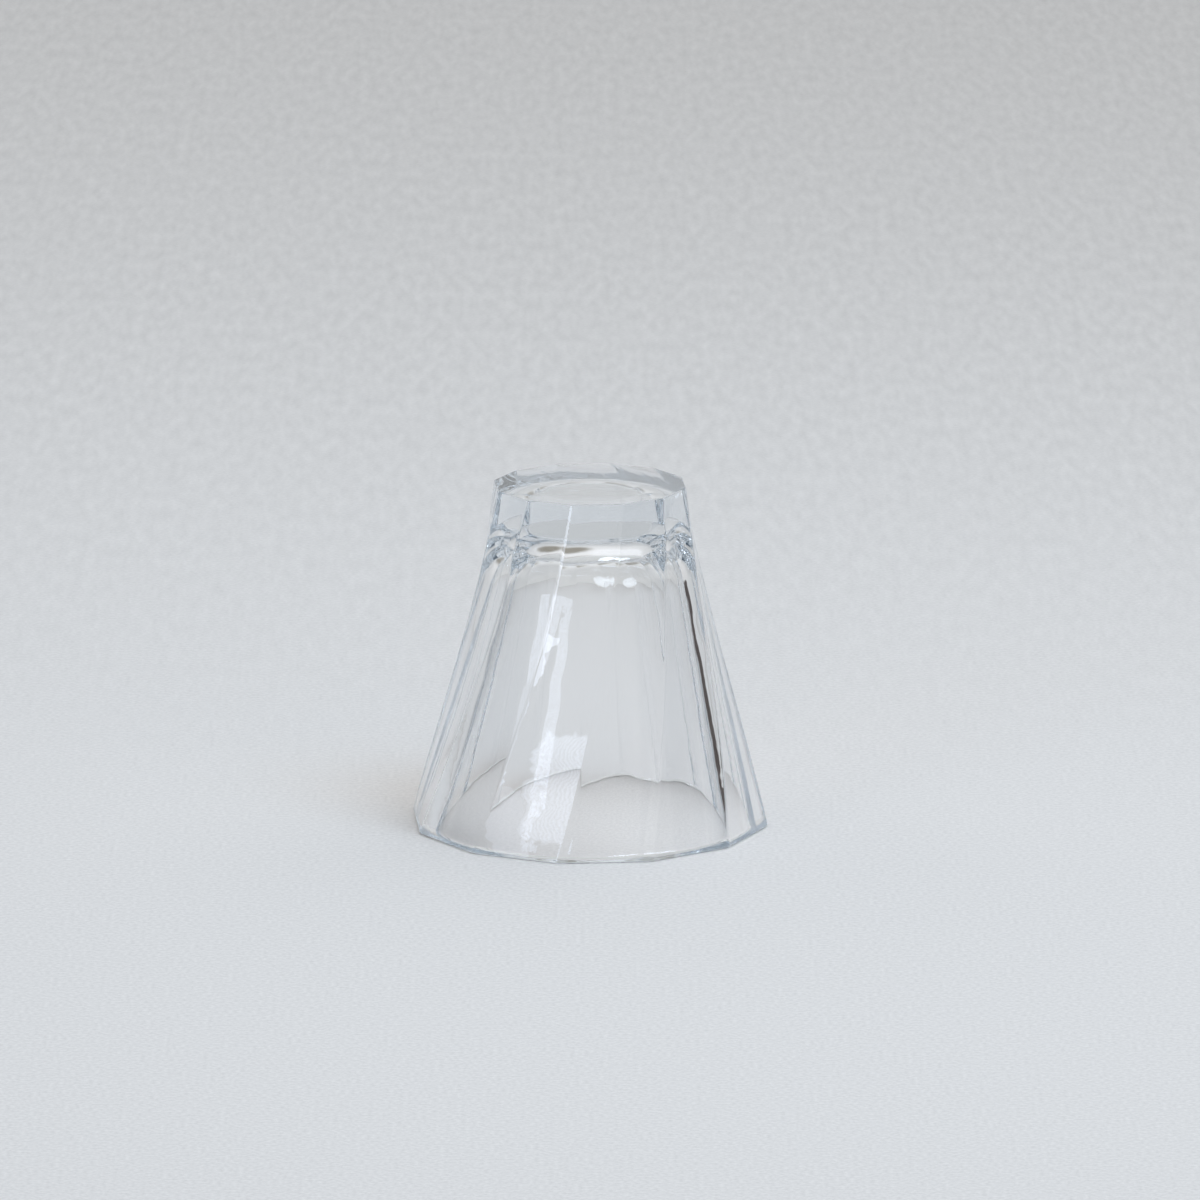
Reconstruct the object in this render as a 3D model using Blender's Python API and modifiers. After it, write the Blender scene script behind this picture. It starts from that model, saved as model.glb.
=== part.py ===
"""A clear pressed-glass cappuccino tumbler standing upside down on its rim.

The outside is a twelve-sided tapering body whose ridges sweep round by one facet between rim and foot.
The inside is a smooth round cavity above a heavy base, and the foot has a shallow round recess.
Metres, +Z up. The rim plane is z = 0, the foot is on top and the axis is the Z axis.
"""

import math

import bpy

# Outside
FACETS = 12
RIM_RADIUS = 0.0452         # axis to a corner of the rim, before its edge is rounded
FOOT_RADIUS = 0.02425       # axis to a corner of the foot, before its edge is rounded
HEIGHT = 0.0860
BOW = 0.00173               # how far the wall bows in from a straight taper
BOW_HEIGHT = 0.0498         # height above the rim at which it bows in most
SWEEP_FACETS = 1.0          # how many facets a ridge travels round from rim to foot
RIDGE_ROUND = 0.0005        # width of the rounded ridge between two facets
FOOT_EDGE_ROUND = 0.0004    # radius of the edge round the foot

# Inside
RIM_WALL = 0.0026           # wall at the middle of a facet, at the rim
BASE_THICKNESS = 0.0114     # solid glass between cavity and foot
CAVITY_END_RADIUS = 0.0205  # where the straight cavity wall would meet the cavity's end
CORNER_WIDTH = 0.0140       # the cavity's end corner is a quarter oval, this wide
CORNER_HEIGHT = 0.0196      # and this high

# Lip
LIP_ROUND = 0.0007          # radius of the rim's outer edge
LIP_WIDTH = 0.0020          # the rim's inner edge is a quarter oval, this wide
LIP_HEIGHT = 0.0024         # and this high

# Foot
STANDING_RING = 0.0034      # width of the flat ring round the recess, at the middle of a facet
RECESS_DEPTH = 0.0003

# Fineness of the faceted surfaces
WALL_ROWS = 14
EDGE_STEPS = 5
CORNER_STEPS = 8
ROUND_STEPS = 72
RECESS_STEPS = 5
RIDGE_ANGLE = math.radians(25)
CUT_MARGIN = 0.002          # how far a cutter stands out of the surface that it opens

GLASS_COLOUR = (0.93, 0.96, 0.97, 1.0)
GLASS_ROUGHNESS = 0.02
GLASS_INDEX = 1.52

# Sizes that follow from the ones above
FACET_TURN = 2 * math.pi / FACETS
FLAT_SHARE = math.cos(FACET_TURN / 2)   # middle of a facet against its corners
CAVITY_END = HEIGHT - BASE_THICKNESS
CAVITY_RIM_RADIUS = RIM_RADIUS * FLAT_SHARE - RIM_WALL
CAVITY_LEAN = (CAVITY_RIM_RADIUS - CAVITY_END_RADIUS) / CAVITY_END
BOW_SHARE = BOW_HEIGHT / HEIGHT
RECESS_RADIUS = FOOT_RADIUS * FLAT_SHARE - STANDING_RING


def clear_scene():
    """Remove every object that the new file starts with."""
    for item in list(bpy.data.objects):
        bpy.data.objects.remove(item, do_unlink=True)


def new_collection(name):
    """Add a collection to the scene."""
    collection = bpy.data.collections.new(name)
    bpy.context.scene.collection.children.link(collection)
    return collection


def glass_material():
    """Clear pressed glass."""
    material = bpy.data.materials.new("clear_glass")
    material.use_nodes = True
    shader = material.node_tree.nodes["Principled BSDF"]
    shader.inputs["Base Color"].default_value = GLASS_COLOUR
    shader.inputs["Roughness"].default_value = GLASS_ROUGHNESS
    shader.inputs["Metallic"].default_value = 0.0
    shader.inputs["IOR"].default_value = GLASS_INDEX
    shader.inputs["Transmission Weight"].default_value = 1.0
    return material


def wall_radius(height):
    """Corner radius of the outside at a height above the rim."""
    share = height / HEIGHT
    straight = RIM_RADIUS + (FOOT_RADIUS - RIM_RADIUS) * share
    rise = (share / BOW_SHARE) ** (BOW_SHARE / (1 - BOW_SHARE))
    return straight - BOW * rise * (1 - share) / (1 - BOW_SHARE)


def cavity_radius(height):
    """Radius of the cavity's straight wall at a height above the rim."""
    return CAVITY_RIM_RADIUS - CAVITY_LEAN * height


def rounded_corner(before, corner, after, radius, steps):
    """Points of an arc that rounds the corner between two straight runs."""
    run_in = (before[0] - corner[0], before[1] - corner[1])
    run_out = (after[0] - corner[0], after[1] - corner[1])
    angle_in = math.atan2(run_in[1], run_in[0])
    angle_out = math.atan2(run_out[1], run_out[0])
    opening = (angle_out - angle_in + math.pi) % (2 * math.pi) - math.pi
    reach = radius / math.sin(abs(opening) / 2)
    middle = angle_in + opening / 2
    centre = (corner[0] + reach * math.cos(middle), corner[1] + reach * math.sin(middle))
    turn = math.copysign(math.pi - abs(opening), -opening)
    start = angle_in - math.copysign(math.pi / 2, -opening) + math.pi
    points = []
    for step in range(steps + 1):
        angle = start + turn * step / steps
        points.append((centre[0] + radius * math.cos(angle), centre[1] + radius * math.sin(angle)))
    return points


def oval_arc(centre, width, height, first, last, steps):
    """Points along an upright oval, from one angle to another."""
    points = []
    for step in range(steps + 1):
        angle = first + (last - first) * step / steps
        points.append((centre[0] + width * math.cos(angle), centre[1] + height * math.sin(angle)))
    return points


def wall_angle(width, height):
    """Angle at which an oval of this size runs along the cavity's wall."""
    return math.atan(CAVITY_LEAN * height / width)


def outside_profile():
    """Half section of the solid outside, from the top of the axis round to its lower end."""
    top = (0.0, HEIGHT)
    bottom = (0.0, 0.0)
    heights = [HEIGHT * (WALL_ROWS - row) / WALL_ROWS for row in range(WALL_ROWS + 1)]
    wall = [(wall_radius(height), height) for height in heights]
    foot_edge = rounded_corner(top, wall[0], wall[1], FOOT_EDGE_ROUND, EDGE_STEPS)
    rim_edge = rounded_corner(wall[-2], wall[-1], bottom, LIP_ROUND, EDGE_STEPS)
    return [top] + foot_edge + wall[1:-1] + rim_edge + [bottom]


def end_corner():
    """The cavity's end corner, from its flat end down into its wall."""
    angle = wall_angle(CORNER_WIDTH, CORNER_HEIGHT)
    level = CAVITY_END - CORNER_HEIGHT
    middle = cavity_radius(level + CORNER_HEIGHT * math.sin(angle)) - CORNER_WIDTH * math.cos(angle)
    return oval_arc((middle, level), CORNER_WIDTH, CORNER_HEIGHT, math.pi / 2, angle, CORNER_STEPS)


def inner_lip():
    """The inner edge of the rim, from the cavity's wall down to the rim's flat."""
    angle = wall_angle(LIP_WIDTH, LIP_HEIGHT)
    middle = cavity_radius(LIP_HEIGHT * (1 - math.sin(angle))) + LIP_WIDTH * math.cos(angle)
    return oval_arc((middle, LIP_HEIGHT), LIP_WIDTH, LIP_HEIGHT, math.pi + angle, 1.5 * math.pi, EDGE_STEPS)


def cavity_profile():
    """Half section of the cavity, from the top of the axis down through the rim."""
    lip = inner_lip()
    mouth = lip[-1][0]
    return [(0.0, CAVITY_END)] + end_corner() + lip + [(mouth, -CUT_MARGIN), (0.0, -CUT_MARGIN)]


def recess_profile():
    """Half section of the shallow dish in the foot, with the space above it."""
    above = HEIGHT + CUT_MARGIN
    dish = []
    for step in range(RECESS_STEPS, -1, -1):
        share = step / RECESS_STEPS
        dish.append((RECESS_RADIUS * share, HEIGHT - RECESS_DEPTH * (1 - share * share)))
    return [(0.0, above), (RECESS_RADIUS, above)] + dish


def turned_body(name, profile, steps, smooth, collection):
    """Turn a half section round the Z axis into a closed body."""
    points = [(radius, 0.0, height) for radius, height in profile]
    edges = [(index, index + 1) for index in range(len(points) - 1)]
    mesh = bpy.data.meshes.new(name)
    mesh.from_pydata(points, edges, [])
    body = bpy.data.objects.new(name, mesh)
    collection.objects.link(body)
    screw = body.modifiers.new("turn", "SCREW")
    screw.angle = 2 * math.pi
    screw.steps = steps
    screw.render_steps = steps
    screw.use_merge_vertices = True
    screw.merge_threshold = 0.00001
    screw.use_smooth_shade = smooth
    return body


def sweep_ridges(body):
    """Twist the facets so that each ridge travels round on its way up."""
    sweep = body.modifiers.new("sweep", "SIMPLE_DEFORM")
    sweep.deform_method = "TWIST"
    sweep.deform_axis = "Z"
    sweep.angle = SWEEP_FACETS * FACET_TURN


def round_ridges(body):
    """Take the sharpness off the ridges between the facets."""
    bevel = body.modifiers.new("ridges", "BEVEL")
    bevel.limit_method = "ANGLE"
    bevel.angle_limit = RIDGE_ANGLE
    bevel.offset_type = "WIDTH"
    bevel.width = RIDGE_ROUND
    bevel.segments = 2


def cut(body, cutter):
    """Take a cutter's shape out of a body."""
    boolean = body.modifiers.new(cutter.name, "BOOLEAN")
    boolean.operation = "DIFFERENCE"
    boolean.solver = "EXACT"
    boolean.object = cutter
    cutter.hide_render = True
    cutter.display_type = "WIRE"


def build_glass():
    """The one piece of glass: swept outside, round cavity, dished foot."""
    parts = new_collection("cappuccino_glass")
    cutters = new_collection("cutters")
    glass = turned_body("glass_body", outside_profile(), FACETS, False, parts)
    sweep_ridges(glass)
    round_ridges(glass)
    cut(glass, turned_body("cavity", cavity_profile(), ROUND_STEPS, True, cutters))
    cut(glass, turned_body("foot_recess", recess_profile(), ROUND_STEPS, True, cutters))
    glass.data.materials.append(glass_material())


clear_scene()
build_glass()
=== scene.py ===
# %% [markdown]
# # An upturned cappuccino glass
# The object is one piece of clear pressed glass. It stands upside down on its wide rim, with the narrow
# foot on top. Twelve flat facets run round the outside, and their ridges sweep sideways on the way up, by
# one whole facet. Inside is a smooth round cavity under a heavy base. Almost everything that the eye sees
# in such a glass is bent light, so this lesson spends its effort on a clean surface with exact normals,
# and on what stands round the glass.

# %% Load the fixed frame
import math

import bpy
import numpy as np
from mathutils import Matrix, Vector


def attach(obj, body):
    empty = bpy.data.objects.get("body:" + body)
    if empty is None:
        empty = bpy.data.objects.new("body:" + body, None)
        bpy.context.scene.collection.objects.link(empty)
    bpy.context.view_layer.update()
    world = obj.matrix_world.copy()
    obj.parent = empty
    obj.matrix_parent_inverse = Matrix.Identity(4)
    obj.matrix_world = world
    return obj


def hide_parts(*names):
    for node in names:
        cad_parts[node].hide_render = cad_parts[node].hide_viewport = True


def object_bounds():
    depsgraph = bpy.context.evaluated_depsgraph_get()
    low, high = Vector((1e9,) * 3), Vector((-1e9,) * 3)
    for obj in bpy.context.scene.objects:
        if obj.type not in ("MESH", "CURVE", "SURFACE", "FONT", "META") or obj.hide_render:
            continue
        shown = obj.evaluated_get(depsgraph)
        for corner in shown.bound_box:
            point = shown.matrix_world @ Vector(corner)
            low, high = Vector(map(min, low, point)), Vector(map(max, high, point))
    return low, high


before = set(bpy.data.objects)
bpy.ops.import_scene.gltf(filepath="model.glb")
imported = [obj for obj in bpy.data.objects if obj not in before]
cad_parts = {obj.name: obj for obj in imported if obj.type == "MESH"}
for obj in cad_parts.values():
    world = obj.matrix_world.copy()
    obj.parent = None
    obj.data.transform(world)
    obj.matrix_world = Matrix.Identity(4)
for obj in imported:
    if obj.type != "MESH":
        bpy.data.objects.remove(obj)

CAD_BOX = [list(corner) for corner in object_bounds()]
print("solid's box in mm:", [[round(1000 * v, 1) for v in corner] for corner in CAD_BOX])

# %% [markdown]
# ## The camera
# The picture is square, and the glass is small in it and a little left of the middle. The long lens keeps
# the rim and the foot nearly in parallel view. The camera could be placed by eye, but the rim's corners
# give it exactly: their ellipse gives the pitch, its width the distance, and the corners' places round it
# how far the glass is turned.

# %% Camera
PICTURE_SIDE = 1200                 # pixels
RIM_RADIUS = 0.0452                 # axis to a corner of the rim, before its edge is rounded
RIM_PIXELS = 180.8                  # the same length in the picture
RIM_CENTRE = (590.0, 819.2)         # pixel at which the middle of the rim's plane lies
PITCH = math.radians(13.34)         # how far the lens looks down
DISTANCE = 60 * RIM_RADIUS          # far off, so that the view is nearly parallel
TURN = math.radians(10.4)           # how far round the glass the camera stands
SENSOR = 36.0                       # mm

FOCAL_PIXELS = RIM_PIXELS * DISTANCE / RIM_RADIUS
ROUND_TO_CAMERA = Matrix.Rotation(TURN, 4, "Z")


def add_camera():
    """A camera that sees the middle of the rim at its pixel."""
    ahead = Vector((0, math.cos(PITCH), -math.sin(PITCH)))
    up = Vector((0, math.sin(PITCH), math.cos(PITCH)))
    right = Vector((1, 0, 0))
    off_right = (RIM_CENTRE[0] - PICTURE_SIDE / 2) / FOCAL_PIXELS
    off_down = (RIM_CENTRE[1] - PICTURE_SIDE / 2) / FOCAL_PIXELS
    place = (up * off_down - ahead - right * off_right) * DISTANCE
    data = bpy.data.cameras.new("camera")
    data.sensor_width = SENSOR
    data.lens = FOCAL_PIXELS * SENSOR / PICTURE_SIDE
    data.clip_end = 4 * DISTANCE
    camera = bpy.data.objects.new("camera", data)
    bpy.context.scene.collection.objects.link(camera)
    facing = Matrix((right, up, -ahead)).transposed().to_4x4()
    camera.matrix_world = ROUND_TO_CAMERA @ Matrix.Translation(place) @ facing
    bpy.context.scene.camera = camera
    return camera


camera = add_camera()
camera_place = [round(v, 3) for v in camera.matrix_world.translation]
print("lens", round(camera.data.lens), "mm, camera at", camera_place)

# %% [markdown]
# ## The glass's section
# A pressed glass is a skin that closes on itself: from the middle of the foot out over the standing ring,
# down the faceted wall, round the lip, and back up the round cavity to its end. A Screw modifier could
# turn such a section, but here half of the section belongs to a twelve-sided body that twists and half to
# a round one. So the section is written as rows, each with its radius, its height and the direction in
# which the skin runs there.

# %% Sizes of the section
FACETS = 12
HEIGHT = CAD_BOX[1][2]
FOOT_RADIUS = 0.02425       # axis to a corner of the foot, before its edge is rounded
BOW = 0.00173               # how far the wall bows in from a straight taper
BOW_HEIGHT = 0.0498         # height above the rim at which it bows in most
RIDGE_RADIUS = 0.0024       # rounding along the ridges
FOOT_EDGE_ROUND = 0.0004    # edge round the foot
RIM_WALL = 0.0026           # wall at the middle of a facet, at the rim
BASE_THICKNESS = 0.0114     # solid glass between the cavity and the foot
CAVITY_END_RADIUS = 0.0205  # where the straight cavity wall would meet the cavity's end
CORNER_WIDTH = 0.0140       # the cavity's end corner is a quarter oval, this wide
CORNER_HEIGHT = 0.0196      # and this high
LIP_ROUND = 0.0007          # outer edge of the rim
LIP_WIDTH = 0.0020          # the inner edge is a quarter oval, this wide
LIP_HEIGHT = 0.0024         # and this high
STANDING_RING = 0.0034      # width of the flat ring round the dish in the foot
RECESS_DEPTH = 0.0003       # depth of that dish

FACET_TURN = 2 * math.pi / FACETS
FLAT_SHARE = math.cos(FACET_TURN / 2)       # middle of a facet against its corners
CAVITY_END = HEIGHT - BASE_THICKNESS
CAVITY_RIM_RADIUS = RIM_RADIUS * FLAT_SHARE - RIM_WALL
CAVITY_LEAN = (CAVITY_RIM_RADIUS - CAVITY_END_RADIUS) / CAVITY_END
RECESS_RADIUS = FOOT_RADIUS * FLAT_SHARE - STANDING_RING
BOW_SHARE = BOW_HEIGHT / HEIGHT
print("cavity:", round(2000 * CAVITY_RIM_RADIUS, 1), "mm wide,", round(1000 * CAVITY_END, 1), "mm deep")

# %% Wall and rounded corners
NEAR = 0.002                # a short way along the wall, for its direction at an edge


def wall_radius(height):
    """Corner radius of the outside at a height above the rim."""
    share = height / HEIGHT
    straight = RIM_RADIUS + (FOOT_RADIUS - RIM_RADIUS) * share
    rise = (max(share, 0.0) / BOW_SHARE) ** (BOW_SHARE / (1 - BOW_SHARE))
    return straight - BOW * rise * (1 - share) / (1 - BOW_SHARE)


def row(kind, radius, height, run, wave):
    """One ring of the skin. The run is its direction in the section, the wave how uneven it is."""
    length = math.hypot(*run)
    run = (run[0] / length, run[1] / length)
    return {"kind": kind, "r": radius, "z": height, "run": run, "wave": wave}


def arc_rows(kind, before, corner, after, radius, steps, wave):
    """Rows of an arc that rounds the corner between two straight runs."""
    angle_in = math.atan2(before[1] - corner[1], before[0] - corner[0])
    angle_out = math.atan2(after[1] - corner[1], after[0] - corner[0])
    opening = (angle_out - angle_in + math.pi) % (2 * math.pi) - math.pi
    reach = radius / math.sin(abs(opening) / 2)
    middle = angle_in + opening / 2
    centre = (corner[0] + reach * math.cos(middle), corner[1] + reach * math.sin(middle))
    way = math.copysign(1, -opening)
    start = angle_in + math.pi - way * math.pi / 2
    rows = []
    for step in range(steps + 1):
        angle = start + way * (math.pi - abs(opening)) * step / steps
        spot = (centre[0] + radius * math.cos(angle), centre[1] + radius * math.sin(angle))
        rows.append(row(kind, *spot, (-way * math.sin(angle), way * math.cos(angle)), wave))
    return rows


print("axis to a ridge at half height:", round(1000 * wall_radius(HEIGHT / 2), 1), "mm")

# %% Rows of the foot and the outside
RECESS_STEPS = 14
EDGE_STEPS = 10
WALL_ROWS = 120
LOW_WAVES = 2               # how much stronger the waves grow towards the rim


def foot_rows():
    """The dish in the foot. The flat ring lies between its last row and the foot's edge."""
    rows = []
    for step in range(1, RECESS_STEPS + 1):
        share = step / RECESS_STEPS
        height = HEIGHT - RECESS_DEPTH * (1 - share * share)
        run = (RECESS_RADIUS, 2 * RECESS_DEPTH * share)
        rows.append(row("foot", RECESS_RADIUS * share, height, run, 0.0))
    return rows


def outside_rows():
    """The foot's edge, the faceted wall and the outer half of the lip, from top to bottom."""
    top = (wall_radius(HEIGHT), HEIGHT)
    under_top = (wall_radius(HEIGHT - NEAR), HEIGHT - NEAR)
    foot_edge = arc_rows("facet", (0.0, HEIGHT), top, under_top, FOOT_EDGE_ROUND, EDGE_STEPS, 0.0)
    rim = (wall_radius(0.0), 0.0)
    over_rim = (wall_radius(NEAR), NEAR)
    lip = arc_rows("facet", over_rim, rim, (0.0, 0.0), LIP_ROUND, EDGE_STEPS, 0.0)
    wall = []
    for step in range(1, WALL_ROWS):
        share = step / WALL_ROWS
        height = foot_edge[-1]["z"] + (lip[0]["z"] - foot_edge[-1]["z"]) * share
        lean = wall_radius(height - NEAR) - wall_radius(height + NEAR)
        wave = math.sin(math.pi * share) ** 0.5 * (1 + LOW_WAVES * share ** 4)
        wall.append(row("facet", wall_radius(height), height, (lean, -2 * NEAR), wave))
    return foot_edge + wall + lip


outer_rows = foot_rows() + outside_rows()
print(len(outer_rows), "rows from the foot down to the rim")

# %% Rows of the lip and the cavity
LIP_STEPS = 16
CAVITY_ROWS = 70
CORNER_STEPS = 36
END_STEPS = 8


def cavity_radius(height):
    """Radius of the cavity's straight wall at a height above the rim."""
    return CAVITY_RIM_RADIUS - CAVITY_LEAN * height


def lip_rows():
    """Rows of the lip's inner edge, a quarter oval from the rim's flat up into the cavity's wall."""
    last = math.atan(LIP_WIDTH / (CAVITY_LEAN * LIP_HEIGHT))
    middle = cavity_radius(LIP_HEIGHT * (1 - math.cos(last))) + LIP_WIDTH * math.sin(last)
    rows = []
    for step in range(LIP_STEPS + 1):
        turn = last * step / LIP_STEPS
        spot = (middle - LIP_WIDTH * math.sin(turn), LIP_HEIGHT * (1 - math.cos(turn)))
        run = (-LIP_WIDTH * math.cos(turn), LIP_HEIGHT * math.sin(turn))
        rows.append(row("round", *spot, run, 0.0))
    return rows


def end_rows():
    """Rows of the cavity's end corner, a quarter oval from the wall up to the flat end."""
    first = math.atan(CAVITY_LEAN * CORNER_HEIGHT / CORNER_WIDTH)
    level = CAVITY_END - CORNER_HEIGHT
    middle = cavity_radius(level + CORNER_HEIGHT * math.sin(first)) - CORNER_WIDTH * math.cos(first)
    rows = []
    for step in range(CORNER_STEPS + 1):
        turn = first + (math.pi / 2 - first) * step / CORNER_STEPS
        spot = (middle + CORNER_WIDTH * math.cos(turn), level + CORNER_HEIGHT * math.sin(turn))
        run = (-CORNER_WIDTH * math.sin(turn), CORNER_HEIGHT * math.cos(turn))
        rows.append(row("round", *spot, run, 1.0))
    return rows


def inside_rows():
    """The inner half of the lip, the cavity's wall, its rounded corner and its end."""
    lip = lip_rows()
    corner = end_rows()
    wall = []
    for step in range(1, CAVITY_ROWS):
        share = step / CAVITY_ROWS
        radius = lip[-1]["r"] + (corner[0]["r"] - lip[-1]["r"]) * share
        height = lip[-1]["z"] + (corner[0]["z"] - lip[-1]["z"]) * share
        wall.append(row("round", radius, height, (-CAVITY_LEAN, 1.0), share))
    flat = []
    for step in range(1, END_STEPS):
        share = 1 - step / END_STEPS
        flat.append(row("round", corner[-1]["r"] * share, CAVITY_END, (-1.0, 0.0), share))
    return lip + wall + corner + flat


rows = outer_rows + inside_rows()
print(len(rows), "rows in the whole section")

# %% [markdown]
# ## The skin
# Each row becomes a ring of points. On the facets, most points lie on the flats and a few on the small arc
# of each ridge. A refracting surface shows every wrong normal, so the normals aren't left to Blender: each
# is worked out from the two directions in which the skin runs at that point, and given to the mesh as a
# custom normal.

# %% Rings with twelve sides
FLAT_COLUMNS = 12
RIDGE_COLUMNS = 6


def facet_ring(radius):
    """Points of a ring with rounded corners, one of them on +X, and the ring's direction at each point."""
    half = FACET_TURN / 2
    flat = radius * math.sin(half) - RIDGE_RADIUS * math.tan(half)
    inner = (radius * math.cos(half) - RIDGE_RADIUS) / math.cos(half)
    points, along = [], []
    for facet in range(FACETS):
        facing = (facet + 0.5) * FACET_TURN
        out = np.array((math.cos(facing), math.sin(facing)))
        side = np.array((-math.sin(facing), math.cos(facing)))
        for column in range(FLAT_COLUMNS + 1):
            points.append(out * radius * math.cos(half) + side * flat * (2 * column / FLAT_COLUMNS - 1))
            along.append(side)
        for column in range(1, RIDGE_COLUMNS):
            angle = facing + FACET_TURN * column / RIDGE_COLUMNS
            corner = facing + half
            centre = inner * np.array((math.cos(corner), math.sin(corner)))
            points.append(centre + RIDGE_RADIUS * np.array((math.cos(angle), math.sin(angle))))
            along.append(np.array((-math.sin(angle), math.cos(angle))))
    return np.array(points), np.array(along)


RIM_RING, _ = facet_ring(RIM_RADIUS)
COLUMN_ANGLES = np.arctan2(RIM_RING[:, 1], RIM_RING[:, 0])
print(len(COLUMN_ANGLES), "points in each ring")

# %% Points and normals of a row
SWEEP = FACET_TURN          # a ridge travels this far round between rim and foot
STEP = 1e-5                 # a small change of radius, to see how a ring grows


def turned(points, angle):
    """Points of the plane turned about the axis."""
    c, s = math.cos(angle), math.sin(angle)
    return points @ np.array(((c, s), (-s, c)))


def lifted(points, height):
    """Points of the plane at a height."""
    return np.column_stack((points, np.full(len(points), height)))


def skin_ring(item):
    """Points and normals of one row."""
    run_out, run_up = item["run"]
    if item["kind"] == "facet":
        angle = SWEEP * item["z"] / HEIGHT
        points, along = facet_ring(item["r"])
        growth = (facet_ring(item["r"] + STEP)[0] - facet_ring(item["r"] - STEP)[0]) / (2 * STEP)
        points, along, growth = (turned(part, angle) for part in (points, along, growth))
        swing = np.column_stack((-points[:, 1], points[:, 0])) * SWEEP / HEIGHT
        run = lifted(growth * run_out + swing * run_up, run_up)
    else:
        angle = COLUMN_ANGLES + (SWEEP if item["kind"] == "foot" else 0.0)
        out = np.column_stack((np.cos(angle), np.sin(angle)))
        points = out * item["r"]
        along = np.column_stack((-np.sin(angle), np.cos(angle)))
        run = lifted(out * run_out, run_up)
    normals = np.cross(run, lifted(along, 0.0))
    normals /= np.linalg.norm(normals, axis=1)[:, None]
    return lifted(points, item["z"]), normals


print("each ridge sweeps round by", round(math.degrees(SWEEP)), "degrees")

# %% [markdown]
# ## Uneven glass
# Pressed glass is never quite even. The mould chills the outside, and the plunger leaves the hot cavity
# last, so the cavity's rounded end is the most uneven part. A bump texture could fake it, but bent light
# shows the difference. So a few long, shallow waves move the points themselves and tilt their normals.

# %% Waves of the pressed surface
WAVE_COUNT = 9
WAVE_LENGTHS = (0.007, 0.022)       # shortest and longest
OUTSIDE_WAVE = 0.000004             # height of each wave
INSIDE_WAVE = 0.000012
OUTSIDE_SEED = 5
INSIDE_SEED = 8


def waves(points, seed):
    """An even mix of long waves at the points, and how steeply it rises there."""
    draw = np.random.default_rng(seed)
    height = np.zeros(len(points))
    slope = np.zeros((len(points), 3))
    for _ in range(WAVE_COUNT):
        way = draw.normal(size=3)
        way *= 2 * math.pi / (np.linalg.norm(way) * draw.uniform(*WAVE_LENGTHS))
        phase = points @ way + draw.uniform(0, 2 * math.pi)
        height += np.sin(phase)
        slope += np.cos(phase)[:, None] * way
    return height, slope


def waved(points, normals, amount, seed):
    """Points moved along their normals by the waves, with the normals leaning to suit."""
    height, slope = waves(points, seed)
    slope -= (slope * normals).sum(axis=1)[:, None] * normals
    leaning = normals - amount * slope
    leaning /= np.linalg.norm(leaning, axis=1)[:, None]
    return points + normals * height[:, None] * amount, leaning


print(WAVE_COUNT, "waves,", [round(1000 * length) for length in WAVE_LENGTHS], "mm long")

# %% [markdown]
# ## One closed mesh
# The rings are joined by quads from the foot round to the cavity's end, with a fan of triangles at each
# pole, so the glass is one closed skin with an inside. That is what bent light needs: every ray that goes
# in through a face also comes out through one.

# %% Points and faces of the skin
def glass_skin():
    """All points and normals of the skin, ring after ring, with a pole at each end."""
    points, normals = [], []
    for item in rows:
        ring, facing = skin_ring(item)
        if item["wave"] > 0:
            outside = item["kind"] == "facet"
            amount = item["wave"] * (OUTSIDE_WAVE if outside else INSIDE_WAVE)
            ring, facing = waved(ring, facing, amount, OUTSIDE_SEED if outside else INSIDE_SEED)
        points.append(ring)
        normals.append(facing)
    poles = np.array(((0, 0, HEIGHT - RECESS_DEPTH), (0, 0, CAVITY_END)), float)
    ups = np.array(((0, 0, 1), (0, 0, -1)), float)
    return np.vstack(points + [poles]), np.vstack(normals + [ups])


def skin_faces(rings, columns):
    """Quads between neighbouring rings, and a fan at each pole."""
    faces = []
    first_pole = rings * columns
    last = (rings - 1) * columns
    for column in range(columns):
        beside = (column + 1) % columns
        faces.append((first_pole, column, beside))
        for ring in range(rings - 1):
            a, b = ring * columns, (ring + 1) * columns
            faces.append((a + column, b + column, b + beside, a + beside))
        faces.append((first_pole + 1, last + beside, last + column))
    return faces


points, normals = glass_skin()
faces = skin_faces(len(rows), len(COLUMN_ANGLES))
print("glass:", len(points), "points,", len(faces), "faces")

# %% The glass as an object
mesh = bpy.data.meshes.new("pressed_glass")
mesh.from_pydata(points.tolist(), [], faces)
mesh.shade_smooth()
mesh.normals_split_custom_set_from_vertices(normals.tolist())
glass = bpy.data.objects.new("pressed_glass", mesh)
bpy.context.scene.collection.objects.link(glass)
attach(glass, "root")
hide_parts("glass_body")
print("object:", glass.name, "with", len(mesh.polygons), "polygons")

# %% [markdown]
# ## Unevenness as a node group
# Two surfaces here have a fine unevenness: the glass, which cooled against a mould, and the paper under
# it. Both get it from one node group with a scale, a detail and a stretch, so that the effect is built
# once and each material sets its own values.

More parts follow.
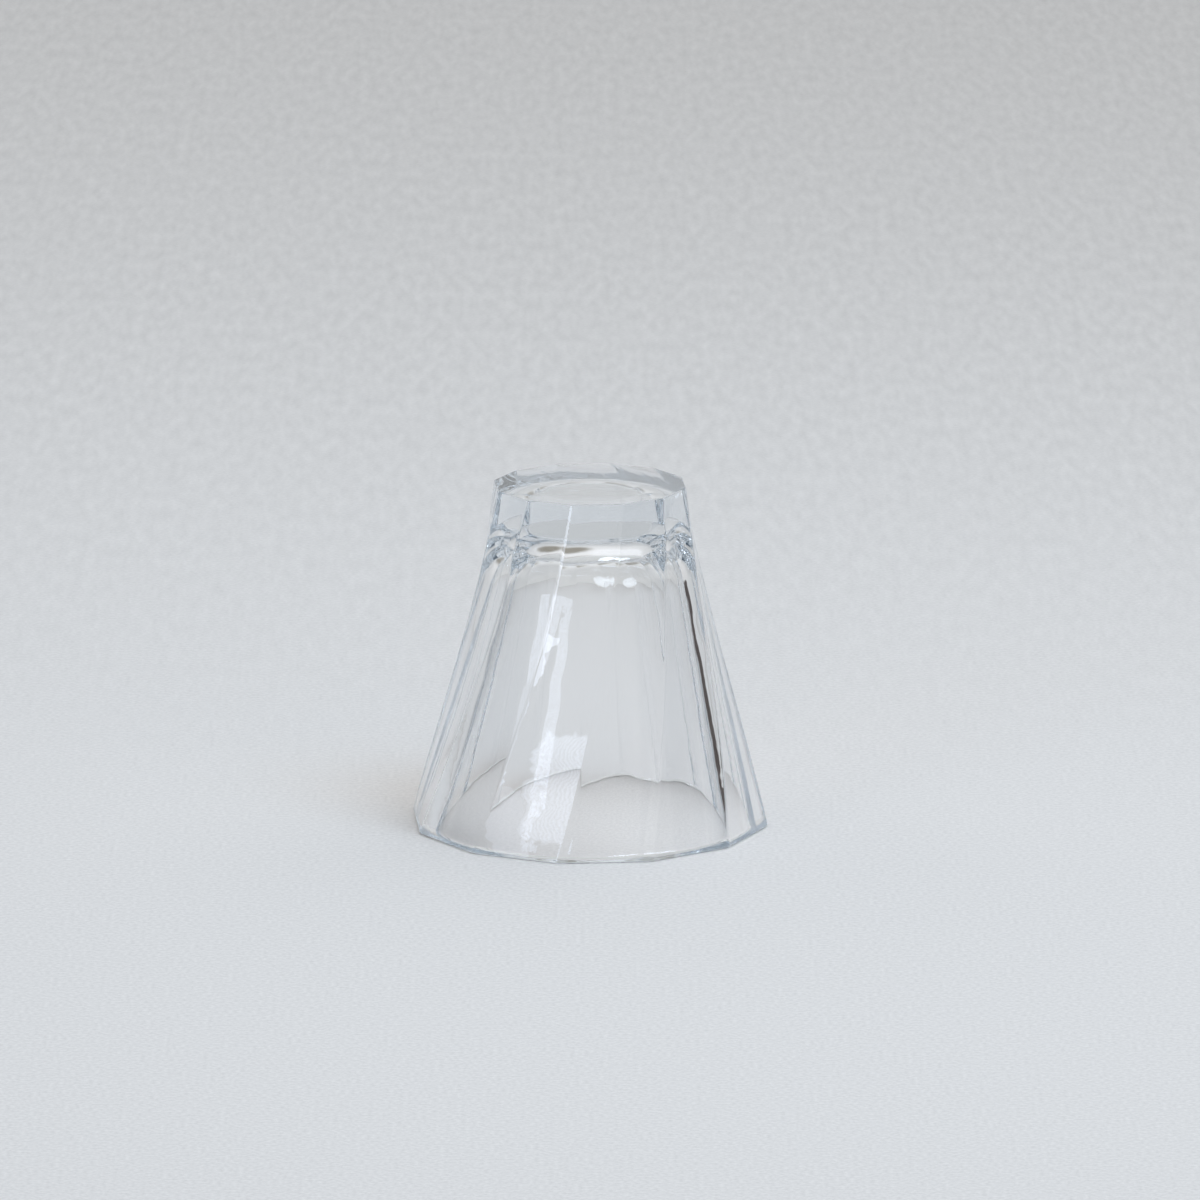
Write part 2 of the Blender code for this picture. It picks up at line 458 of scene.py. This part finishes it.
# %% Fine unevenness group
def unevenness_group():
    """A group that puts out a height from noise in the object's own space."""
    group = bpy.data.node_groups.new("fine_unevenness", "ShaderNodeTree")
    group.interface.new_socket("Scale", in_out="INPUT", socket_type="NodeSocketFloat")
    group.interface.new_socket("Detail", in_out="INPUT", socket_type="NodeSocketFloat")
    group.interface.new_socket("Stretch", in_out="INPUT", socket_type="NodeSocketVector")
    group.interface.new_socket("Height", in_out="OUTPUT", socket_type="NodeSocketFloat")
    nodes, links = group.nodes, group.links
    entry = nodes.new("NodeGroupInput")
    leave = nodes.new("NodeGroupOutput")
    place = nodes.new("ShaderNodeTexCoord")
    noise = nodes.new("ShaderNodeTexNoise")
    stretch = nodes.new("ShaderNodeVectorMath")
    stretch.operation = "MULTIPLY"
    links.new(place.outputs["Object"], stretch.inputs[0])
    links.new(entry.outputs["Stretch"], stretch.inputs[1])
    links.new(stretch.outputs["Vector"], noise.inputs["Vector"])
    links.new(entry.outputs["Scale"], noise.inputs["Scale"])
    links.new(entry.outputs["Detail"], noise.inputs["Detail"])
    links.new(noise.outputs["Fac"], leave.inputs["Height"])
    return group


def place_group(tree, scale, detail, stretch=(1.0, 1.0, 1.0)):
    """Put the unevenness group into a material with its own values, and give its height."""
    node = tree.nodes.new("ShaderNodeGroup")
    node.node_tree = UNEVEN
    node.inputs["Scale"].default_value = scale
    node.inputs["Detail"].default_value = detail
    node.inputs["Stretch"].default_value = stretch
    return node.outputs["Height"]


def add_bump(tree, height, strength, distance):
    """Let a height roughen the normals of a material's Principled shader."""
    bump = tree.nodes.new("ShaderNodeBump")
    bump.inputs["Strength"].default_value = strength
    bump.inputs["Distance"].default_value = distance
    tree.links.new(height, bump.inputs["Height"])
    tree.links.new(bump.outputs["Normal"], tree.nodes["Principled BSDF"].inputs["Normal"])


UNEVEN = unevenness_group()
print("node group:", UNEVEN.name)

# %% [markdown]
# ## Clear glass
# The glass looks colourless. Only where light runs a long way through it does a faint blue-green tint
# show. A Principled shader with full transmission bends the light, and a Volume Absorption node tints it
# by the length of its way. A tinted Base Color would be simpler, but it would colour thin and thick glass
# alike.

# %% Glass material
GLASS_INDEX = 1.55
BODY_COLOUR = (0.20, 0.37, 0.50, 1.0)
BODY_DENSITY = 3.6                  # per metre
MOULD_SCALE = 260.0
MOULD_DETAIL = 1.0
MOULD_STRENGTH = 0.02
MOULD_DEPTH = 0.001


def glass_material():
    """Clear pressed glass with a faint mould texture."""
    material = bpy.data.materials.new("clear_pressed_glass")
    material.use_nodes = True
    tree = material.node_tree
    shader = tree.nodes["Principled BSDF"]
    shader.inputs["Base Color"].default_value = (1.0, 1.0, 1.0, 1.0)
    shader.inputs["Metallic"].default_value = 0.0
    shader.inputs["Roughness"].default_value = 0.0
    shader.inputs["IOR"].default_value = GLASS_INDEX
    shader.inputs["Transmission Weight"].default_value = 1.0
    add_bump(tree, place_group(tree, MOULD_SCALE, MOULD_DETAIL), MOULD_STRENGTH, MOULD_DEPTH)
    body = tree.nodes.new("ShaderNodeVolumeAbsorption")
    body.inputs["Color"].default_value = BODY_COLOUR
    body.inputs["Density"].default_value = BODY_DENSITY
    tree.links.new(body.outputs["Volume"], tree.nodes["Material Output"].inputs["Volume"])
    return material


clear_glass = glass_material()
glass.data.materials.append(clear_glass)
print("material:", clear_glass.name, "with an index of", GLASS_INDEX)

# %% [markdown]
# ## A way for lamplight
# Lamps would see the glass as a solid thing and throw a black shadow, and following their light through
# the curved skin would take far too many rays. So rays that look for lamps pass a tinted Transparent
# shader instead. A face that they meet squarely lets most light through, and one that they graze little,
# as real glass does.
# Right under the rim, where glass and paper touch, it is dark. No lamplight comes in there, and only a
# part of the room's light. Light that runs down inside the wall ends on that dark ring, and so the ring is
# what draws the dark lines along the outline of the glass.

# %% Small node helpers
def math_node(tree, operation, *values):
    """A Math node fed by sockets or plain numbers, and its result."""
    node = tree.nodes.new("ShaderNodeMath")
    node.operation = operation
    for socket, value in zip(node.inputs, values):
        if isinstance(value, (int, float)):
            socket.default_value = value
        else:
            tree.links.new(value, socket)
    return node.outputs[0]


def range_node(tree, value, first, last, to_first=0.0, to_last=1.0, smooth=False):
    """A Map Range node from one range to another, and its result."""
    node = tree.nodes.new("ShaderNodeMapRange")
    node.interpolation_type = "SMOOTHSTEP" if smooth else "LINEAR"
    node.inputs["From Min"].default_value = first
    node.inputs["From Max"].default_value = last
    node.inputs["To Min"].default_value = to_first
    node.inputs["To Max"].default_value = to_last
    tree.links.new(value, node.inputs["Value"])
    return node.outputs["Result"]


def blend_node(tree, share, first, second):
    """A Mix node between two colours, given as sockets or as values, and its result."""
    node = tree.nodes.new("ShaderNodeMix")
    node.data_type = "RGBA"
    tree.links.new(share, node.inputs["Factor"])
    for name, colour in (("A", first), ("B", second)):
        if isinstance(colour, tuple):
            node.inputs[name].default_value = colour
        else:
            tree.links.new(colour, node.inputs[name])
    return node.outputs["Result"]


def coordinate(tree, axis):
    """One coordinate of a point in its object's own space."""
    place = tree.nodes.new("ShaderNodeTexCoord")
    apart = tree.nodes.new("ShaderNodeSeparateXYZ")
    tree.links.new(place.outputs["Object"], apart.inputs[0])
    return apart.outputs[axis]


print("helpers:", [helper.__name__ for helper in (math_node, range_node, blend_node, coordinate)])

# %% Lamplight through the glass
FACE_ON = (0.945, 0.885, 0.83, 1.0)     # lamplight left after a face that it meets squarely
GRAZED = (0.08, 0.06, 0.03, 1.0)        # and after a face that it only grazes
GRAZE_POWER = 4.0                       # the higher, the later a slanting face turns dark
CONTACT_HEIGHT = 0.0008                 # below this, next to the paper, no lamplight comes in
CONTACT_DARK = 0.45                     # share of the paper's rays that see no room under the rim


def lamplight_shader(tree, height):
    """A Transparent shader whose tint falls off with the slant of the face and close to the paper."""
    slant = tree.nodes.new("ShaderNodeLayerWeight")
    slant.inputs["Blend"].default_value = 0.5
    grazing = math_node(tree, "POWER", slant.outputs["Facing"], GRAZE_POWER)
    let_in = tree.nodes.new("ShaderNodeVectorMath")
    let_in.operation = "SCALE"
    tree.links.new(blend_node(tree, grazing, FACE_ON, GRAZED), let_in.inputs[0])
    tree.links.new(range_node(tree, height, 0.0, CONTACT_HEIGHT), let_in.inputs["Scale"])
    clear = tree.nodes.new("ShaderNodeBsdfTransparent")
    tree.links.new(let_in.outputs["Vector"], clear.inputs["Color"])
    return clear.outputs["BSDF"]


def open_to_lamps(tree):
    """Give rays that look for lamps, and some of the paper's rays under the rim, the Transparent shader."""
    height = coordinate(tree, "Z")
    contact = range_node(tree, height, 0.0, CONTACT_HEIGHT, CONTACT_DARK, 0.0)
    path = tree.nodes.new("ShaderNodeLightPath")
    from_paper = math_node(tree, "MULTIPLY", path.outputs["Is Diffuse Ray"], contact)
    share = math_node(tree, "MAXIMUM", path.outputs["Is Shadow Ray"], from_paper)
    either = tree.nodes.new("ShaderNodeMixShader")
    tree.links.new(share, either.inputs["Fac"])
    tree.links.new(tree.nodes["Principled BSDF"].outputs["BSDF"], either.inputs[1])
    tree.links.new(lamplight_shader(tree, height), either.inputs[2])
    tree.links.new(either.outputs["Shader"], tree.nodes["Material Output"].inputs["Surface"])


open_to_lamps(clear_glass.node_tree)
print("lamplight left after a face:", FACE_ON[:3], "met squarely,", GRAZED[:3], "grazed")

# %% [markdown]
# ## The paper under it
# The glass stands on a sheet of pale, cool grey paper with a fine tooth. Near the glass each fleck is
# small. Far behind it the flecks run together, so a coarser grain comes in there, drawn out along the
# view. One flat sheet is enough, because the camera looks down so far that the sheet fills the whole
# picture.

# %% Paper material
PAPER_COLOUR = (0.683, 0.676, 0.668)
PAPER_ROUGHNESS = 0.95
PAPER_SHINE = 0.1
GRAIN = 0.19                        # how far the fibres differ in colour
FINE_TOOTH = (900.0, 3.0)           # scale and detail of the noise
COARSE_TOOTH = (330.0, 1.0, (1.0, 0.2, 1.0))    # the same, and its stretch
COARSE_SHARE = 0.6                  # of the coarse grain, at the far end of the sheet
COARSE_FROM = -0.15                 # where it begins to come in, from the glass away from the camera
COARSE_TO = 0.60                    # and where it has its full share
TOOTH_STRENGTH = 0.25
TOOTH_DEPTH = 0.0002


def paper_material():
    """Pale grey paper with a fine tooth."""
    material = bpy.data.materials.new("grey_paper")
    material.use_nodes = True
    tree = material.node_tree
    shader = tree.nodes["Principled BSDF"]
    shader.inputs["Roughness"].default_value = PAPER_ROUGHNESS
    shader.inputs["Specular IOR Level"].default_value = PAPER_SHINE
    behind = range_node(tree, coordinate(tree, "Y"), COARSE_FROM, COARSE_TO, 0.0, COARSE_SHARE, smooth=True)
    tooth = tree.nodes.new("ShaderNodeMix")
    tree.links.new(behind, tooth.inputs["Factor"])
    tree.links.new(place_group(tree, *FINE_TOOTH), tooth.inputs["A"])
    tree.links.new(place_group(tree, *COARSE_TOOTH), tooth.inputs["B"])
    dark = tuple((1 - GRAIN) * c for c in PAPER_COLOUR) + (1.0,)
    light = tuple((1 + GRAIN) * c for c in PAPER_COLOUR) + (1.0,)
    colour = blend_node(tree, tooth.outputs["Result"], dark, light)
    tree.links.new(colour, shader.inputs["Base Color"])
    add_bump(tree, tooth.outputs["Result"], TOOTH_STRENGTH, TOOTH_DEPTH)
    return material


paper = paper_material()
print("material:", paper.name)

# %% Paper floor
FLOOR_SIDE = 2.4
FLOOR_GAP = 0.00005                 # from the sheet to the rim, so that they don't share a plane


def add_floor():
    """One flat sheet just under the rim."""
    half = FLOOR_SIDE / 2
    corners = [(-half, -half, 0), (half, -half, 0), (half, half, 0), (-half, half, 0)]
    sheet = bpy.data.meshes.new("paper_floor")
    sheet.from_pydata(corners, [], [(0, 1, 2, 3)])
    sheet.materials.append(paper)
    floor = bpy.data.objects.new("paper_floor", sheet)
    floor.matrix_world = ROUND_TO_CAMERA @ Matrix.Translation((0, 0, -FLOOR_GAP))
    bpy.context.scene.collection.objects.link(floor)
    return floor


floor = add_floor()
print("floor:", floor.name, FLOOR_SIDE, "m square")

# %% [markdown]
# ## The room
# Clear glass has no look of its own: it shows what stands round it. The room is pale, and a little darker
# towards the horizon than overhead. Its two sides are dark and bluish, and the ridges and the base bend
# them into view as lines and bars. A few more patches stand for single things: a pale backdrop, a bright
# ceiling, something brown high at the back, and dark wood at the right, which becomes a brown line in the
# wall. A picture of a whole room could be wrapped round the scene instead, but a soft patch can be set
# exactly where the glass shows it.

# %% Room
ROOM_HEIGHTS = (                    # share of the way up, colour of the room there
    (0.00, (0.61, 0.63, 0.65)),
    (0.30, (0.70, 0.71, 0.72)),
    (1.00, (0.90, 0.91, 0.92)),
)
DARK_SIDE = (0.08, 0.115, 0.155)
DARK_WOOD = (0.07, 0.055, 0.05)
ROOM_PATCHES = (                    # azimuth, elevation, full to, fades out at, colour
    (84.0, 10.0, 24.0, 37.0, DARK_SIDE),                # the dark side at the right
    (-84.0, 10.0, 24.0, 37.0, DARK_SIDE),               # and at the left
    (180.0, 2.0, 20.0, 45.0, (0.61, 0.625, 0.635)),     # the pale backdrop
    (118.0, 66.0, 17.0, 25.0, (0.98, 1.00, 1.03)),      # a bright ceiling at the right and back
    (-150.0, 53.0, 9.0, 22.0, (0.32, 0.30, 0.26)),      # a brown patch high at the back
    (118.0, 0.0, 4.0, 7.0, DARK_WOOD),                  # dark wood at the right, leaning away
    (120.0, 4.5, 4.0, 7.0, DARK_WOOD),
    (125.0, 9.0, 3.5, 6.5, DARK_WOOD),
)


def toward(azimuth, elevation):
    """A direction from the glass, in degrees. Azimuth is from the camera's side, positive to the right."""
    a, e = math.radians(azimuth), math.radians(elevation)
    seen = Vector((math.sin(a) * math.cos(e), -math.cos(a) * math.cos(e), math.sin(e)))
    return ROUND_TO_CAMERA @ seen


def height_ramp(tree, height):
    """The colour of the room at a height, as a socket."""
    ramp = tree.nodes.new("ShaderNodeValToRGB")
    while len(ramp.color_ramp.elements) < len(ROOM_HEIGHTS):
        ramp.color_ramp.elements.new(0.5)
    for stop, (position, colour) in zip(ramp.color_ramp.elements, ROOM_HEIGHTS):
        stop.position = position
        stop.color = colour + (1.0,)
    tree.links.new(height, ramp.inputs["Fac"])
    return ramp.outputs["Color"]


def add_room():
    """A pale room from a height ramp and a few soft patches."""
    world = bpy.data.worlds.new("room")
    world.use_nodes = True
    tree = world.node_tree
    place = tree.nodes.new("ShaderNodeTexCoord")
    apart = tree.nodes.new("ShaderNodeSeparateXYZ")
    tree.links.new(place.outputs["Generated"], apart.inputs[0])
    shade = height_ramp(tree, apart.outputs["Z"])
    for azimuth, elevation, full, fade, colour in ROOM_PATCHES:
        near = tree.nodes.new("ShaderNodeVectorMath")
        near.operation = "DOT_PRODUCT"
        near.inputs[1].default_value = toward(azimuth, elevation)
        tree.links.new(place.outputs["Generated"], near.inputs[0])
        border, core = math.cos(math.radians(fade)), math.cos(math.radians(full))
        share = range_node(tree, near.outputs["Value"], border, core, smooth=True)
        shade = blend_node(tree, share, shade, colour + (1.0,))
    background = tree.nodes["Background"]
    tree.links.new(shade, background.inputs["Color"])
    background.inputs["Strength"].default_value = 1.0
    world.cycles.sampling_method = "NONE"       # the paper's own rays find the room, also through the glass
    bpy.context.scene.world = world
    return world


room = add_room()
print("world:", room.name, "with", len(ROOM_PATCHES), "patches")

# %% [markdown]
# ## The lamps
# The light is plain and soft. A round soft lamp high at the right lights the paper and throws the faint
# shadow to the left. A window at the left front lies as a reflection on the front facet and as a strip in
# the cavity. A sill and a low side window belong to it, and the side window draws the white line along a
# ridge. Area lamps make them all, because glass shows an area lamp as a bright shape of its own size. A
# thin curtain with folds gives the window soft borders and fine ripples.

# %% Lamps
DAYLIGHT = (0.76, 0.84, 1.0)
SOFT_LIGHT = (0.78, 0.88, 1.0)
LAMPS = (       # name, shape, azimuth, elevation, distance, width, height, spread, power, colour
    ("window", "RECTANGLE", -38.4, 17.9, 2.0, 0.64, 0.378, 180, 2.5, DAYLIGHT),
    ("window_sill", "RECTANGLE", -44.5, 9.8, 2.0, 0.385, 0.19, 180, 0.42, DAYLIGHT),
    ("window_side", "RECTANGLE", -26.5, 5.5, 2.0, 0.89, 0.245, 180, 3.4, DAYLIGHT),
    ("soft_lamp", "DISK", 50.0, 57.0, 1.9, 1.01, 1.01, 60, 2.2, SOFT_LIGHT),
)


def add_lamp(name, shape, azimuth, elevation, distance, width, height, spread, power, colour):
    """A soft lamp aimed at the middle of the glass."""
    data = bpy.data.lights.new(name, "AREA")
    data.shape = shape
    data.size = width
    data.size_y = height
    data.energy = power
    data.color = colour
    data.spread = math.radians(spread)
    spot = toward(azimuth, elevation) * distance
    aim = Vector((0, 0, HEIGHT / 2))
    lamp = bpy.data.objects.new(name, data)
    lamp.location = spot + aim
    lamp.rotation_mode = "QUATERNION"
    lamp.rotation_quaternion = (-spot).to_track_quat("-Z", "Y")
    bpy.context.scene.collection.objects.link(lamp)
    return lamp


lamps = {facts[0]: add_lamp(*facts) for facts in LAMPS}
print("lamps:", list(lamps))

# %% Curtain before the window
CURTAIN_EDGE = 0.05                 # width of the soft border, as a share of the window
CURTAIN_FOLDS = 16
CURTAIN_DEPTH = 0.22                # how far the folds change the brightness


def hang_curtain(lamp):
    """A thin curtain before a lamp: soft borders, and folds that run across it."""
    lamp.data.use_nodes = True
    tree = lamp.data.node_tree
    surface = tree.nodes.new("ShaderNodeNewGeometry")
    apart = tree.nodes.new("ShaderNodeSeparateXYZ")
    tree.links.new(surface.outputs["Parametric"], apart.inputs[0])
    strength = 1.0
    for axis in ("X", "Y"):
        from_middle = math_node(tree, "SUBTRACT", apart.outputs[axis], 0.5)
        to_border = math_node(tree, "SUBTRACT", 0.5, math_node(tree, "ABSOLUTE", from_middle))
        border = range_node(tree, to_border, 0.0, CURTAIN_EDGE, smooth=True)
        strength = math_node(tree, "MULTIPLY", border, strength)
    turn = math_node(tree, "MULTIPLY", apart.outputs["Y"], 2 * math.pi * CURTAIN_FOLDS)
    fold = math_node(tree, "SINE", turn)
    shade = math_node(tree, "MULTIPLY_ADD", fold, CURTAIN_DEPTH, 1.0)
    strength = math_node(tree, "MULTIPLY", strength, shade)
    tree.links.new(strength, tree.nodes["Emission"].inputs["Strength"])


hang_curtain(lamps["window"])
print("curtain with", CURTAIN_FOLDS, "folds")

# %% [markdown]
# ## The picture's settings
# Light in a thick glass goes in and out through many faces, so the paths are let run longer than usual.
# The plain view keeps the tones as they are set, without a film look.

# %% Settings
PATH_LENGTH = 96
CLEAR_FACES = 16                    # faces that a ray to a lamp may pass

scene = bpy.context.scene
scene.view_settings.view_transform = "Standard"
scene.cycles.max_bounces = PATH_LENGTH
scene.cycles.transmission_bounces = PATH_LENGTH
scene.cycles.glossy_bounces = PATH_LENGTH
scene.cycles.transparent_max_bounces = CLEAR_FACES
print("light paths of up to", PATH_LENGTH, "bounces")
